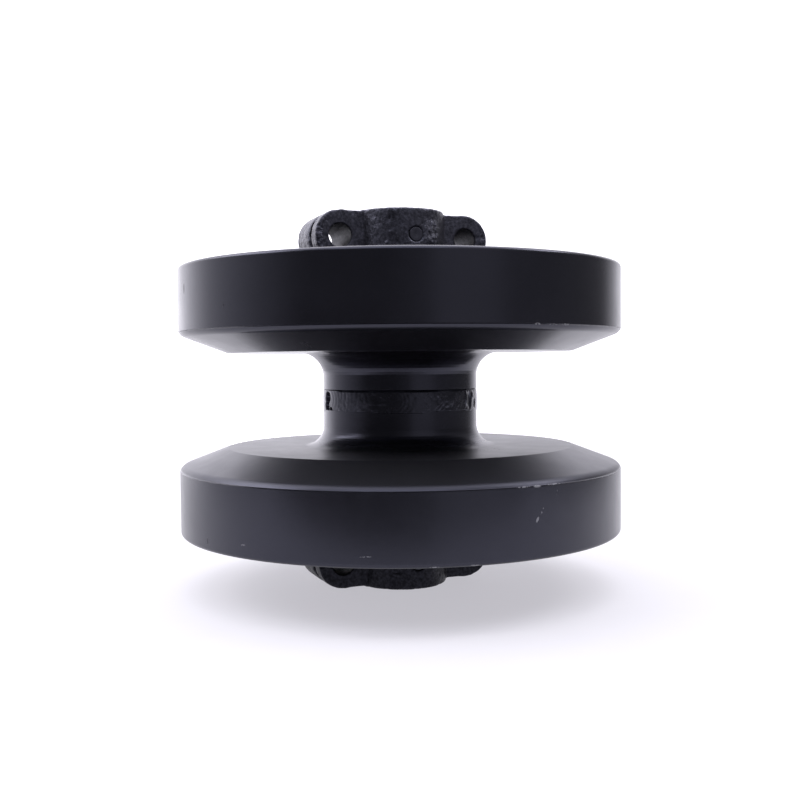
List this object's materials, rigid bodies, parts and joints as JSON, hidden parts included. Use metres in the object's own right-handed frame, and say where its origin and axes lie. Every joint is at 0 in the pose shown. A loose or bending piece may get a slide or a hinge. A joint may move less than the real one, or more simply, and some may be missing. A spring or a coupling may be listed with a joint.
{
  "type": "track roller",
  "caption": "Flanged track roller for a rubber-track loader: a welded shell turns on a fixed shaft held by cast, bolt-on end collars.",
  "frame": {"origin": "centre of the roller: on its axis, midway between the collars' end faces", "axes": "+Z along the roller axis, towards the end with the oil plug; +Y out of the collars' mounting pads, along their bolt holes; X along the lugs"},
  "size_m": [0.254, 0.254, 0.2162],
  "materials": {
    "shell_paint": "satin black paint over a turned forging",
    "weld_paint": "black paint over a rough weld bead",
    "collar_paint": "black paint over a rough casting",
    "pin_paint": "black paint over a smooth steel pin",
    "shaft_steel": "ground steel",
    "plug_steel": "plain steel",
    "bushing_bronze": "bored bronze",
    "seal_iron": "lapped alloy iron",
    "seal_rubber": "matte rubber"
  },
  "bodies": {
    "axle": {"shaft": "shaft_steel", "oil_plug": "plug_steel", "upper_collar": "collar_paint", "upper_lock_pin": "pin_paint", "upper_fixed_seal_ring": "seal_iron", "upper_fixed_toric": "seal_rubber", "upper_shaft_o_ring": "seal_rubber", "lower_collar": "collar_paint", "lower_lock_pin": "pin_paint", "lower_fixed_seal_ring": "seal_iron", "lower_fixed_toric": "seal_rubber", "lower_shaft_o_ring": "seal_rubber"},
    "roller": {"weld_bead": "weld_paint", "upper_shell": "shell_paint", "upper_bushing": "bushing_bronze", "upper_turning_seal_ring": "seal_iron", "upper_turning_toric": "seal_rubber", "lower_shell": "shell_paint", "lower_bushing": "bushing_bronze", "lower_turning_seal_ring": "seal_iron", "lower_turning_toric": "seal_rubber"}
  },
  "joints": [
    {"name": "roller_spin", "type": "hinge", "parent": "axle", "child": "roller", "pos_m": [0, 0, 0], "axis": [0, 0, 1], "continuous": true}
  ]
}
